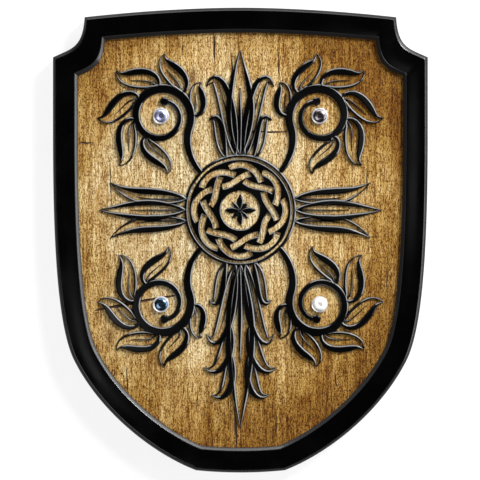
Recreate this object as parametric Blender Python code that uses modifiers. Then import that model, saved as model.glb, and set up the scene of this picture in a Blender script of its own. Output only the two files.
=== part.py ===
"""A child's wooden shield with a black rim, a raised black ornament and four bolts that hold two grips.

Metres, +Z up. The shield lies on its back: X runs across it, +Y to its top edge, +Z out of its front.
The origin is on the surface it lies on, under the middle of its outline.
"""
import math

import bmesh
import bpy
import numpy as np

MM = 0.001

# Outline, in millimetres from the middle of the shield's width and height
HALF_WIDTH = 150.0
HALF_HEIGHT = 186.0
TOP_RISE = 7.6
TOP_CURVE = 1.83
NOTCH_WIDTH = 25.3
NOTCH_DROP = 32.1
STRAIGHT_SIDE = 57.9
FLANK_IN = 17.1
FLANK_RISE = 89.5
FLANK_LEAN = 0.468
HEEL_HALF = 35.5
HEEL_RISE = 1.8
HEEL_LEAN = 1.206

# Rim and panel
RIM_DEPTH = 18.0
RIM_WIDTH = 20.0
NOTCH_RIM_WIDTH = 23.0
RIM_CHAMFER = 2.5
LIP = 4.0
REBATE = 8.0
GAP = 0.3
PANEL_THICK = 4.7

# Bolts, at the eyes of the four scrolls
BOLT_X = 63.5
BOLT_Y = 75.4
SHANK = 6.0
BORE = SHANK + 2 * GAP
HEAD = 10.6
HEAD_RISE = 3.3
SOCKET = 4.0
SOCKET_DEEP = 2.2
WASHER = 13.0
WASHER_THICK = 1.0
BACK_WASHER_THICK = 1.2
NUT_FLATS = 10.0
NUT_THICK = 3.2
BOLT_PROUD = 0.8
SIDES = 16

# Ornament: heights, then the roundel with the carving as shares of it, then what grows from it
RELIEF = 2.2
RELIEF_SLOPE = math.tan(math.radians(60))
GROOVE_SLOPE = math.tan(math.radians(74))
RELIEF_FLOOR = 0.6
ROUNDEL_Y = 24.0
ROUNDEL = 45.0
PLAIT_RADIUS = 0.655 * ROUNDEL
PLAIT_SWING = 0.16 * ROUNDEL
PLAIT_LOBES = 8
BAND = 0.044 * ROUNDEL
EYE_POCKET = 0.344 * ROUNDEL
PETAL = 0.278 * ROUNDEL
CREST = 84.0
PENDANT = 130.0
SIDE_LEAF = 69.0
SCROLL = 24.5
SCROLL_EYE = WASHER / 2 + 5.5
SCROLL_LEAF = 52.0
STEM = 3.8
LEAF_BELLY = 6.6

# Grips
STRAP_WIDTH = 25.0
STRAP_THICK = 1.6
STRAP_END = 15.0
STRAP_FLAT = 14.0
STRAP_LOW = 1.2

# Heights that follow from these
PANEL_FRONT = RIM_DEPTH - LIP - GAP
PANEL_BACK = PANEL_FRONT - PANEL_THICK
SEAT = PANEL_FRONT + GAP
WASHER_TOP = SEAT + WASHER_THICK
HEAD_SEAT = WASHER_TOP + GAP
STRAP_TOP = PANEL_BACK - GAP
BACK_WASHER_TOP = STRAP_TOP - STRAP_THICK - GAP
NUT_TOP = BACK_WASHER_TOP - BACK_WASHER_THICK - GAP
BOLT_END = NUT_TOP - NUT_THICK - BOLT_PROUD

for item in list(bpy.data.objects):
    bpy.data.objects.remove(item, do_unlink=True)


def collection(name):
    made = bpy.data.collections.new(name)
    bpy.context.scene.collection.children.link(made)
    return made


PARTS = collection("wooden_shield")
CUTTERS = collection("cutters")
STROKES = collection("ornament_strokes")
GROOVES = collection("ornament_grooves")


def material(name, colour, roughness, metallic=0.0):
    made = bpy.data.materials.new(name)
    made.use_nodes = True
    shader = made.node_tree.nodes["Principled BSDF"]
    shader.inputs["Base Color"].default_value = (*colour, 1.0)
    shader.inputs["Roughness"].default_value = roughness
    shader.inputs["Metallic"].default_value = metallic
    made.diffuse_color = (*colour, 1.0)
    return made


BLACK_PAINT = material("black_paint", (0.012, 0.012, 0.013), 0.32)
BLACK_RELIEF = material("black_relief", (0.01, 0.009, 0.008), 0.38)
OAK = material("oak", (0.56, 0.36, 0.16), 0.55)
STEEL = material("zinc_steel", (0.62, 0.64, 0.67), 0.28, 1.0)
DARK_STEEL = material("dark_steel", (0.22, 0.23, 0.25), 0.3, 1.0)
WEBBING = material("black_webbing", (0.03, 0.03, 0.032), 0.85)


def put(obj, group, look=None, guide=False):
    for owner in list(obj.users_collection):
        owner.objects.unlink(obj)
    group.objects.link(obj)
    if look:
        obj.data.materials.clear()
        obj.data.materials.append(look)
    if guide:
        obj.hide_render = True
        obj.display_type = "WIRE"
    return obj


def meshed(curve_object, name, weld=0.00001):
    """The curve as a welded mesh object in the same place."""
    bpy.context.view_layer.update()
    graph = bpy.context.evaluated_depsgraph_get()
    mesh = bpy.data.meshes.new_from_object(curve_object.evaluated_get(graph))
    work = bmesh.new()
    work.from_mesh(mesh)
    bmesh.ops.remove_doubles(work, verts=work.verts, dist=weld)
    bmesh.ops.recalc_face_normals(work, faces=work.faces)
    work.to_mesh(mesh)
    work.free()
    place = curve_object.matrix_world.copy()
    bpy.data.objects.remove(curve_object, do_unlink=True)
    mesh.name = name
    made = bpy.data.objects.new(name, mesh)
    made.matrix_world = place
    bpy.context.scene.collection.objects.link(made)
    return made


def flat_solid(name, loops, thick, low, chamfer=0.0):
    """A solid of closed outlines given in millimetres, thick along Z from low, both edges chamfered."""
    data = bpy.data.curves.new(name, "CURVE")
    data.dimensions = "2D"
    data.fill_mode = "BOTH"
    data.extrude = (thick / 2 - chamfer) * MM
    data.bevel_depth = chamfer * MM
    data.bevel_resolution = 0
    data.offset = -chamfer * MM
    for loop in loops:
        spline = data.splines.new("POLY")
        spline.points.add(len(loop) - 1)
        for point, (x, y) in zip(spline.points, loop):
            point.co = (x * MM, y * MM, 0.0, 1.0)
        spline.use_cyclic_u = True
    made = bpy.data.objects.new(name, data)
    bpy.context.scene.collection.objects.link(made)
    made.location.z = (low + thick / 2) * MM
    return meshed(made, name)


def boolean(obj, name, operation, cutter=None, group=None, solver="EXACT"):
    cut = obj.modifiers.new(name, "BOOLEAN")
    cut.operation = operation
    cut.solver = solver
    if group:
        cut.operand_type = "COLLECTION"
        cut.collection = group
    else:
        cut.object = cutter
    return cut


def cylinder(name, radius, low, high, at, sides=SIDES, turn=0.0):
    mesh = bpy.data.meshes.new(name)
    work = bmesh.new()
    bmesh.ops.create_cone(work, cap_ends=True, segments=sides, radius1=radius * MM, radius2=radius * MM,
                          depth=(high - low) * MM)
    work.to_mesh(mesh)
    work.free()
    made = bpy.data.objects.new(name, mesh)
    made.location = (at[0] * MM, at[1] * MM, (low + high) / 2 * MM)
    made.rotation_euler.z = turn
    return made


def bezier(p0, p1, p2, p3, count):
    t = np.linspace(0, 1, count)[:, None]
    p0, p1, p2, p3 = (np.array(p, float) for p in (p0, p1, p2, p3))
    return (1 - t) ** 3 * p0 + 3 * t * (1 - t) ** 2 * p1 + 3 * t * t * (1 - t) * p2 + t ** 3 * p3


def unit(angle):
    return np.array([math.cos(angle), math.sin(angle)])


def normals(points):
    run = np.gradient(points, axis=0)
    run /= np.linalg.norm(run, axis=1)[:, None]
    return np.c_[-run[:, 1], run[:, 0]]


def resample(points, segments):
    """The same line with equal steps."""
    steps = np.r_[0, np.cumsum(np.linalg.norm(np.diff(points, axis=0), axis=1))]
    at = np.linspace(0, steps[-1], segments + 1)
    return np.c_[np.interp(at, steps, points[:, 0]), np.interp(at, steps, points[:, 1])]


def meet(first, second):
    """Both lines cut where they cross."""
    for i in range(len(first) - 1):
        p, r = first[i], first[i + 1] - first[i]
        for j in range(len(second) - 1):
            q, s = second[j], second[j + 1] - second[j]
            across = r[0] * s[1] - r[1] * s[0]
            if abs(across) < 1e-12:
                continue
            t = ((q - p)[0] * s[1] - (q - p)[1] * s[0]) / across
            u = ((q - p)[0] * r[1] - (q - p)[1] * r[0]) / across
            if -1e-9 <= t <= 1 + 1e-9 and -1e-9 <= u <= 1 + 1e-9:
                cross = p + t * r
                return np.vstack([first[:i + 1], cross]), np.vstack([cross, second[j + 1:]])
    raise ValueError("the lines do not cross")


def outline(inset, notch_inset=None, counts=(4, 4, 11, 2)):
    """The shield's outline moved inwards, as a closed loop of points in millimetres."""
    notch_inset = inset if notch_inset is None else notch_inset
    shoulder = np.array([HALF_WIDTH - NOTCH_WIDTH, HALF_HEIGHT - TOP_RISE])
    x = np.linspace(0, shoulder[0], 200)
    top = np.c_[x, HALF_HEIGHT - TOP_RISE * (x / shoulder[0]) ** TOP_CURVE]
    notch_size = np.array([NOTCH_WIDTH, -NOTCH_DROP])
    foot = shoulder + notch_size
    notch = bezier(shoulder, shoulder + notch_size * [0.06, 0.766], shoulder + notch_size * [0.4, 0.779],
                   foot, 200)
    side_end = foot - [0, STRAIGHT_SIDE]
    flank = np.array([HALF_WIDTH - FLANK_IN, FLANK_RISE - HALF_HEIGHT])
    heel = np.array([HEEL_HALF, HEEL_RISE - HALF_HEIGHT])
    lean = np.array([-math.sin(FLANK_LEAN), -math.cos(FLANK_LEAN)])
    heel_lean = np.array([-math.sin(HEEL_LEAN), -math.cos(HEEL_LEAN)])
    fall = side_end[1] - flank[1]
    reach = np.linalg.norm(flank - heel)
    upper = bezier(side_end, side_end - [0, 0.39 * fall], flank - lean * 0.183 * fall, flank, 200)
    lower = bezier(flank, flank + lean * 0.362 * reach, heel - heel_lean * 0.272 * reach, heel, 200)
    side = np.linspace(foot, side_end, 20)
    edge = np.vstack([side[:-1], upper, lower[1:]])
    x = np.linspace(heel[0], 0, 100)
    bottom = np.c_[x, HEEL_RISE * (x / heel[0]) ** 2 - HALF_HEIGHT]
    lines = []
    for line, move in ((top, inset), (notch, notch_inset), (edge, inset), (bottom, inset)):
        longer = np.vstack([line[0] - (line[1] - line[0]) * 3, line, line[-1] + (line[-1] - line[-2]) * 3])
        lines.append(longer - normals(longer) * move)
    for i in range(3):
        lines[i], lines[i + 1] = meet(lines[i], lines[i + 1])
    top, notch, edge, bottom = lines
    top = np.vstack([[0, HALF_HEIGHT - inset], top[top[:, 0] > 0.01]])
    bottom = np.vstack([bottom[bottom[:, 0] > 0.01], [0, inset - HALF_HEIGHT]])
    bend = edge[edge[:, 1] <= side_end[1]]
    half = np.vstack([resample(top, counts[0])[:-1], resample(notch, counts[1])[:-1], edge[:1],
                      resample(bend, counts[2])[:-1], resample(bottom, counts[3])])
    return np.vstack([half, (half * [-1, 1])[-2:0:-1]])


# Rim: a chamfered ring with a rebate behind, for the panel
rim = flat_solid("rim_frame", [outline(0), outline(RIM_WIDTH, NOTCH_RIM_WIDTH)], RIM_DEPTH, 0.0, RIM_CHAMFER)
put(rim, PARTS, BLACK_PAINT)
recess = flat_solid("rebate_cutter", [outline(RIM_WIDTH - REBATE, NOTCH_RIM_WIDTH - REBATE)],
                    RIM_DEPTH - LIP + 2.0, -2.0)
put(recess, CUTTERS, guide=True)
boolean(rim, "rebate", "DIFFERENCE", recess)

# Panel, let into the rebate
panel = flat_solid("wood_panel", [outline(RIM_WIDTH - REBATE + GAP, NOTCH_RIM_WIDTH - REBATE + GAP)],
                   PANEL_THICK, PANEL_BACK)
put(panel, PARTS, OAK)
BOLTS = {"upper_right": (1, 1), "upper_left": (-1, 1), "lower_right": (1, -1), "lower_left": (-1, -1)}
PLACES = {name: (BOLT_X * sx, ROUNDEL_Y + BOLT_Y * sy) for name, (sx, sy) in BOLTS.items()}
for name, place in PLACES.items():
    hole = cylinder("panel_hole_" + name, BORE / 2, PANEL_BACK - 1, PANEL_FRONT + 1, place)
    put(hole, CUTTERS, guide=True)
    boolean(panel, "bolt_" + name, "DIFFERENCE", hole)


def swell(count, root, belly, tip, at=0.45):
    """Half-widths that grow from root to belly and thin to tip."""
    t = np.linspace(0, 1, count)
    up = root + (belly - root) * np.sin(np.clip(t / at, 0, 1) * math.pi / 2)
    down = tip + (belly - tip) * np.cos(np.clip((t - at) / (1 - at), 0, 1) * math.pi / 2)
    return np.where(t < at, up, down)


def leaf(root, root_lean, tip, tip_lean, belly, heavy=1, weight=1.0, count=4):
    """Two strokes that part at the root and meet at the tip: the heavy side's is broader."""
    root, tip = np.array(root, float), np.array(tip, float)
    long = np.linalg.norm(tip - root)
    strokes = []
    for side in (1, -1):
        width = {side: 2.9, -side: 1.35, 0: 2.3}[heavy] * weight
        steps = count + (1 if width > 2 else 0)
        t = np.linspace(0, 1, steps)
        spine = bezier(root, root + unit(root_lean) * long * 0.4, tip - unit(tip_lean) * long * 0.42, tip,
                       steps)
        spread = belly * np.sin(math.pi * t ** 0.8) ** 0.85
        strokes.append((spine + normals(spine) * (side * spread)[:, None], swell(steps, 1.2, width, 0.3, 0.5)))
    return strokes


def scroll(count=16):
    """A stem that leaves the roundel and winds round the bolt, with leaves along its outer side."""
    foot = unit(math.radians(44)) * (ROUNDEL - 1.5) - [BOLT_X, BOLT_Y]
    begin, turns = math.radians(200), 1.27
    angles = np.linspace(0, turns * 2 * math.pi, count)

    def radius(run):
        return SCROLL_EYE + (SCROLL - SCROLL_EYE) * (1 - np.clip(run / angles[-1], 0, 1)) ** 0.8
    wind = radius(angles)[:, None] * np.c_[np.cos(begin - angles), np.sin(begin - angles)]
    bow = 0.53 * SCROLL
    stem = bezier(foot, foot + unit(math.radians(46)) * bow, wind[0] - unit(begin - math.pi / 2) * bow,
                  wind[0], 6)
    line = np.vstack([stem[:-1], wind])
    rise = len(line) * 2 // 3
    thin = 0.76 * STEM
    strokes = [(line, np.r_[swell(rise, 0.58 * STEM, STEM, thin, 0.5),
                            np.linspace(thin, 0.48 * STEM, len(line) - rise)])]
    bud = unit(begin - angles[-1]) * SCROLL_EYE
    ahead = unit(begin - angles[-1] - math.pi / 2)
    along = np.linspace(-1, 1, 5)
    strokes.append((bud + np.outer(along * 0.9 * STEM, ahead), 0.9 * STEM * np.sqrt(1.08 - along ** 2)))
    shares = (0.81, 0.96, 0.98, 0.98, 1.0, 0.9)
    for k, share in enumerate(shares):
        step = k / (len(shares) - 1)
        base = math.radians(176 - 232 * step)
        end = base - math.radians(35 + 6 * step)
        belly = LEAF_BELLY * (1.0 if 0 < k < len(shares) - 1 else 0.82)
        strokes += leaf(unit(base) * (radius(begin - base) + 0.6), base - math.radians(6),
                        unit(end) * SCROLL_LEAF * share, end + math.radians(26), belly, 1)
    return strokes


def grown(root, root_lean, tip, tip_lean, belly, heavy, down=False, count=4):
    """A leaf beside the crest, or mirrored beside the pendant."""
    turn = -1 if down else 1
    return leaf((root[0], turn * root[1]), turn * math.radians(root_lean), (tip[0], turn * tip[1]),
                turn * math.radians(tip_lean), belly, heavy * turn, 1.0, count)


def middle_pieces():
    """The crest, the pendant, the side leaves and the flower, as strokes round the roundel."""
    up, edge = math.pi / 2, ROUNDEL - 1
    c, p = CREST, PENDANT
    strokes = leaf((0, edge), up, (0, edge + c), up, 0.107 * c, 0, 1.25)
    strokes += leaf((0, -edge), -up, (0, -edge - p), -up, 0.073 * p, 0, 1.3)
    strokes.append((np.outer(np.linspace(edge, edge + 0.64 * c, 5), unit(up)), swell(5, 1.2, 1.9, 0.3, 0.5)))
    strokes.append((np.outer(np.linspace(edge, edge + 0.6 * p, 6), unit(-up)), swell(6, 1.2, 2.1, 0.3, 0.5)))
    for sx in (1, -1):
        for leaves in (grown((4, edge - 0.5), 78, (0.32 * c, edge + 0.655 * c), -62, 5.0, 1, False, 5),
                       grown((11, edge - 2), 50, (0.3 * c, edge + 0.333 * c), -40, 3.2, 1),
                       grown((4, edge - 0.5), 78, (0.208 * p, edge + 0.423 * p), -62, 5.0, 1, True, 5),
                       grown((11, edge - 2), 50, (0.192 * p, edge + 0.215 * p), -40, 3.2, 1, True),
                       grown((0.062 * p, edge + 0.37 * p), 82, (0.223 * p, edge + 0.631 * p), -30, 4.4, 1, True),
                       grown((0.054 * p, edge + 0.554 * p), 80, (0.177 * p, edge + 0.8 * p), -20, 3.6, 1, True),
                       leaf((edge, 0), 0.0, (edge + SIDE_LEAF, 0), 0.0, 0.09 * SIDE_LEAF, 0, 1.1),
                       leaf(unit(0.2) * edge, 0.1, unit(0.209) * (edge + 0.903 * SIDE_LEAF), math.radians(38),
                            0.075 * SIDE_LEAF, 1),
                       leaf(unit(-0.2) * edge, -0.1, unit(-0.209) * (edge + 0.903 * SIDE_LEAF),
                            math.radians(-38), 0.075 * SIDE_LEAF, -1)):
            strokes += mirrored(leaves, sx)
    for k in range(8):
        share = 1.0 if k % 2 == 0 else 0.76
        strokes.append((np.outer(np.linspace(0.04, share, 4) * PETAL, unit(math.radians(45 * k))),
                        swell(4, 0.08, 0.224 if k % 2 == 0 else 0.144, 0.02, 0.55) * PETAL))
    return strokes


def mirrored(strokes, sx, sy=1, shift=(0.0, 0.0)):
    return [((line + shift) * [sx, sy], half) for line, half in strokes]


def section(name, corners):
    data = bpy.data.curves.new(name, "CURVE")
    data.dimensions = "2D"
    spline = data.splines.new("POLY")
    spline.points.add(len(corners) - 1)
    for point, (x, y) in zip(spline.points, corners):
        point.co = (x * MM, y * MM, 0.0, 1.0)
    spline.use_cyclic_u = True
    made = bpy.data.objects.new(name, data)
    bpy.context.scene.collection.objects.link(made)
    return put(made, CUTTERS, guide=True)


def swept(name, line, profile, sizes, height, closed=False):
    """A profile carried along a line on the panel, scaled at each point."""
    data = bpy.data.curves.new(name, "CURVE")
    data.dimensions = "3D"
    data.twist_mode = "Z_UP"
    data.bevel_mode = "OBJECT"
    data.bevel_object = profile
    data.use_fill_caps = True
    spline = data.splines.new("POLY")
    spline.points.add(len(line) - 1)
    for point, (x, y), size in zip(spline.points, line, sizes):
        point.co = (x * MM, (y + ROUNDEL_Y) * MM, height * MM, 1.0)
        point.radius = size
    spline.use_cyclic_u = closed
    made = bpy.data.objects.new(name, data)
    bpy.context.scene.collection.objects.link(made)
    return meshed(made, name, 0.000002)


# Ornament: a disc cut with a plait, joined to tapering ridges and then cut flat
SKIRT = 0.3
ridge = section("ridge_section", [(0, RELIEF_SLOPE), (1 + SKIRT / RELIEF_SLOPE, -SKIRT),
                                  (-1 - SKIRT / RELIEF_SLOPE, -SKIRT)])
OVER = RELIEF + 0.7
LIFT = (OVER - RELIEF_FLOOR) / GROOVE_SLOPE
groove = section("groove_section", [(-BAND - LIFT, OVER), (BAND + LIFT, OVER), (BAND, RELIEF_FLOOR),
                                    (-BAND, RELIEF_FLOOR)])
disc_mesh = bpy.data.meshes.new("ornament")
work = bmesh.new()
LOW, HIGH = -SKIRT, RELIEF + 0.5
bmesh.ops.create_cone(work, cap_ends=True, segments=44, radius1=(ROUNDEL - LOW / RELIEF_SLOPE) * MM,
                      radius2=(ROUNDEL - HIGH / RELIEF_SLOPE) * MM, depth=(HIGH - LOW) * MM)
work.to_mesh(disc_mesh)
work.free()
ornament = bpy.data.objects.new("ornament", disc_mesh)
ornament.location = (0.0, ROUNDEL_Y * MM, (SEAT + (LOW + HIGH) / 2) * MM)
put(ornament, PARTS, BLACK_RELIEF)


def plait_point(angle):
    return (PLAIT_RADIUS + PLAIT_SWING * math.cos(PLAIT_LOBES * angle / 3)) * unit(angle)


CLEAR = 0.135
for k in range(2 * PLAIT_LOBES):
    first = math.pi * (3 * k / PLAIT_LOBES + 2) + CLEAR
    last = math.pi * (3 * (k + 1) / PLAIT_LOBES + 2) - CLEAR
    line = np.array([plait_point(a) for a in np.linspace(first, last, 5)])
    cut = swept(f"plait_{k:02d}", line, groove, np.ones(5), SEAT)
    put(cut, GROOVES, guide=True)
pocket = bpy.data.objects.new("eye_pocket", bpy.data.meshes.new("eye_pocket"))
work = bmesh.new()
bmesh.ops.create_cone(work, cap_ends=True, segments=24, radius1=EYE_POCKET * MM,
                      radius2=(EYE_POCKET + LIFT) * MM, depth=(OVER - RELIEF_FLOOR) * MM)
work.to_mesh(pocket.data)
work.free()
pocket.location = (0.0, ROUNDEL_Y * MM, (SEAT + (OVER + RELIEF_FLOOR) / 2) * MM)
put(pocket, GROOVES, guide=True)

ALL_STROKES = middle_pieces()
for sx in (1, -1):
    for sy in (1, -1):
        ALL_STROKES += mirrored(scroll(), sx, sy, (BOLT_X, BOLT_Y))
for k, (line, half) in enumerate(ALL_STROKES):
    put(swept(f"stroke_{k:03d}", line, ridge, half, SEAT), STROKES, guide=True)
slab = cylinder("relief_slab", 1.3 * HALF_HEIGHT, SEAT, SEAT + RELIEF, (0, 0), 8)
put(slab, CUTTERS, guide=True)
boolean(ornament, "plait", "DIFFERENCE", group=GROOVES)
boolean(ornament, "strokes", "UNION", group=STROKES)
boolean(ornament, "flat_top", "INTERSECT", slab, solver="MANIFOLD")


def turned(name, profile, at, look, steps=SIDES):
    """A profile of radius and height in millimetres turned round Z."""
    mesh = bpy.data.meshes.new(name)
    work = bmesh.new()
    verts = [work.verts.new((r * MM, 0.0, z * MM)) for r, z in profile]
    for a, b in zip(verts, verts[1:]):
        work.edges.new((a, b))
    work.to_mesh(mesh)
    work.free()
    made = bpy.data.objects.new(name, mesh)
    made.location = (at[0] * MM, at[1] * MM, 0.0)
    screw = made.modifiers.new("turn", "SCREW")
    screw.axis = "Z"
    screw.steps = screw.render_steps = steps
    screw.use_merge_vertices = True
    screw.merge_threshold = 0.00001
    put(made, PARTS, look)
    return made


def ring_solid(name, outer, inner, low, high, at, look, sides=SIDES, turn=0.0):
    made = cylinder(name, outer, low, high, at, sides, turn)
    put(made, PARTS, look)
    hole = cylinder(name + "_hole", inner, low - 1, high + 1, at, 12)
    put(hole, CUTTERS, guide=True)
    boolean(made, "hole", "DIFFERENCE", hole)
    return made


# Bolts, washers and nuts
for name, place in PLACES.items():
    dome = [(HEAD / 2 * math.cos(a) ** 0.8, HEAD_SEAT + 0.6 + (HEAD_RISE - 0.6) * math.sin(a))
            for a in np.linspace(math.pi / 2, 0, 5)[1:]]
    profile = [(0.0, HEAD_SEAT + HEAD_RISE)] + dome + [(HEAD / 2, HEAD_SEAT), (SHANK / 2, HEAD_SEAT),
                                                       (SHANK / 2, BOLT_END + 0.5), (SHANK / 2 - 0.5, BOLT_END),
                                                       (0.0, BOLT_END)]
    bolt = turned("bolt_" + name, profile, place, DARK_STEEL)
    socket = cylinder("socket_" + name, SOCKET / 2 / math.cos(math.pi / 6), HEAD_SEAT + HEAD_RISE - SOCKET_DEEP,
                      HEAD_SEAT + HEAD_RISE + 1, place, 6)
    put(socket, CUTTERS, guide=True)
    boolean(bolt, "socket", "DIFFERENCE", socket)
    ring_solid("washer_front_" + name, WASHER / 2, BORE / 2, SEAT, WASHER_TOP, place, STEEL)
    ring_solid("washer_back_" + name, WASHER / 2, BORE / 2, BACK_WASHER_TOP - BACK_WASHER_THICK, BACK_WASHER_TOP,
               place, STEEL)
    ring_solid("nut_" + name, NUT_FLATS / 2 / math.cos(math.pi / 6), BORE / 2, NUT_TOP - NUT_THICK, NUT_TOP,
               place, STEEL, 6)


# Grips: webbing from bolt to bolt, bowed away from the panel
def strap_outline():
    """The strap seen from its edge: along Y, and up Z."""
    half = BOLT_Y + STRAP_END
    flat = BOLT_Y - STRAP_FLAT
    ends = STRAP_TOP - STRAP_THICK / 2
    low = STRAP_LOW + STRAP_THICK / 2
    t = np.linspace(-1, 1, 11)
    bow = low + (ends - low) * (0.5 - 0.5 * np.cos(math.pi * t)) ** 1.3
    line = np.vstack([[-half, ends], np.c_[t * flat, bow], [half, ends]])
    off = normals(line) * STRAP_THICK / 2
    off[[0, -1]] = (0, STRAP_THICK / 2)
    return np.vstack([line + off, (line - off)[::-1]])


for side, x in (("left", -BOLT_X), ("right", BOLT_X)):
    strap = flat_solid("strap_" + side, [strap_outline()], STRAP_WIDTH, -STRAP_WIDTH / 2)
    strap.rotation_euler = (math.pi / 2, 0, math.pi / 2)
    strap.location = (x * MM, ROUNDEL_Y * MM, 0)
    put(strap, PARTS, WEBBING)
    for end in (1, -1):
        hole = cylinder(f"strap_hole_{side}_{end}", BORE / 2, STRAP_TOP - STRAP_THICK - 1, STRAP_TOP + 1,
                        (x, ROUNDEL_Y + end * BOLT_Y), 16)
        put(hole, CUTTERS, guide=True)
        boolean(strap, f"hole_{end}", "DIFFERENCE", hole)

bpy.context.view_layer.update()
for obj in PARTS.objects:
    obj.data.shade_smooth()
    obj.data.set_sharp_from_angle(angle=math.radians(32))
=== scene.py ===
"""The wooden shield's looks: finer rim, board, ornament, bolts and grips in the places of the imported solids.

Metres, +Z up; the shield lies face up on its back, its top edge towards +Y. Lengths in the code are in
millimetres until MM turns them to metres.
"""
import math

import bmesh
import bpy
import numpy as np
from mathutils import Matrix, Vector


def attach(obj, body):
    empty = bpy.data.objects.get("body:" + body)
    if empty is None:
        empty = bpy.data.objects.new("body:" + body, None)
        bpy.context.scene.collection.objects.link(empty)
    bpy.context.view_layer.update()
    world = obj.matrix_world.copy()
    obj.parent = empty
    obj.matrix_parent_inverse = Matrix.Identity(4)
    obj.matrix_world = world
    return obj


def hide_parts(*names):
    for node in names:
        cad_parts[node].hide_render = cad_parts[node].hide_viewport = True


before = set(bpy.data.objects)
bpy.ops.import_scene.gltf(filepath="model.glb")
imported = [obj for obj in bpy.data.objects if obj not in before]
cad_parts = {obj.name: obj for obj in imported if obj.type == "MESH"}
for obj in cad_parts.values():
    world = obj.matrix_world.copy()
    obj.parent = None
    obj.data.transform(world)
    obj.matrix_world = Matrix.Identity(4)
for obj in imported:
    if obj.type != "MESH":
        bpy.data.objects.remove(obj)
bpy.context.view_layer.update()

MM = 0.001

# Outline
HALF_WIDTH = 150.0
HALF_HEIGHT = 186.0
TOP_RISE = 7.6
TOP_CURVE = 1.83
NOTCH_WIDTH = 25.3
NOTCH_DROP = 32.1
STRAIGHT_SIDE = 57.9
FLANK_IN = 17.1
FLANK_RISE = 89.5
FLANK_LEAN = 0.468
HEEL_HALF = 35.5
HEEL_RISE = 1.8
HEEL_LEAN = 1.206
NOTCH_BEND = ((0.06, 0.766), (0.4, 0.779))
UPPER_BEND = (0.39, 0.183)
LOWER_BEND = (0.362, 0.272)
CURVE_POINTS = 200

# Rim and board
RIM_DEPTH = 18.0
RIM_WIDTH = 20.0
NOTCH_RIM = 16.5
RIM_CHAMFER = 2.5
LIP = 4.0
REBATE = 8.0
GAP = 0.3
PANEL_THICK = 4.7
RIM_ROUNDS = (0.7, 0.7, 0.5, 0.5, 0.5, 0.5, 0.25, 0, 0.4)

# Bolts
BOLT_X = 63.5
BOLT_Y = 75.4
SHANK = 6.0
BORE = 6.6
HEAD = 10.6
HEAD_RISE = 3.3
HEAD_SKIRT = 0.6
SOCKET = 4.0
SOCKET_DEEP = 2.2
SOCKET_MOUTH = 0.65
SHANK_CHAMFER = 0.5
WASHER = 13.0
WASHER_THICK = 1.0
WASHER_ROUND = 0.18
BACK_WASHER_THICK = 1.2
NUT_FLATS = 10.0
NUT_THICK = 3.2
NUT_CHAMFER = 0.5
NUT_MOUTH = 0.3
BOLT_PROUD = 0.8

# Ornament
RELIEF = 2.2
GROOVE_SLOPE = math.tan(math.radians(74))
RELIEF_FLOOR = 0.6
ROUNDEL_Y = 24.0
ROUNDEL = 45.0
PLAIT_RADIUS = 0.655 * ROUNDEL
PLAIT_SWING = 0.16 * ROUNDEL
PLAIT_LOBES = 8
BAND = 0.044 * ROUNDEL
EYE_POCKET = 0.344 * ROUNDEL
PETAL = 0.278 * ROUNDEL
CREST = 84.0
PENDANT = 130.0
SIDE_LEAF = 69.0
SCROLL = 24.5
SCROLL_EYE = WASHER / 2 + 5.5
SCROLL_LEAF = 52.0
STEM = 3.8
LEAF_BELLY = 6.6

# Grips
STRAP_WIDTH = 25.0
STRAP_THICK = 1.6
STRAP_END = 15.0
STRAP_FLAT = 14.0
STRAP_LOW = 1.2
STITCH_ROWS = (-11.5, 10.0)
STITCH_START = 9.6
STITCH_STEP = 2.4
STITCH_COUNT = 9
STITCH_HALF = (0.95, 0.32, 0.28)

PANEL_FRONT = RIM_DEPTH - LIP - GAP
PANEL_BACK = PANEL_FRONT - PANEL_THICK
SEAT = PANEL_FRONT + GAP
WASHER_TOP = SEAT + WASHER_THICK
HEAD_SEAT = WASHER_TOP + GAP
STRAP_TOP = PANEL_BACK - GAP
BACK_WASHER_TOP = STRAP_TOP - STRAP_THICK - GAP
NUT_TOP = BACK_WASHER_TOP - BACK_WASHER_THICK - GAP
BOLT_END = NUT_TOP - NUT_THICK - BOLT_PROUD

GUIDES = bpy.data.collections.new("guides")
STROKES = bpy.data.collections.new("ornament_strokes")
GROOVES = bpy.data.collections.new("ornament_grooves")
CRACKS = bpy.data.collections.new("board_cracks")
for made in (GUIDES, STROKES, GROOVES, CRACKS):
    bpy.context.scene.collection.children.link(made)


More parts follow.
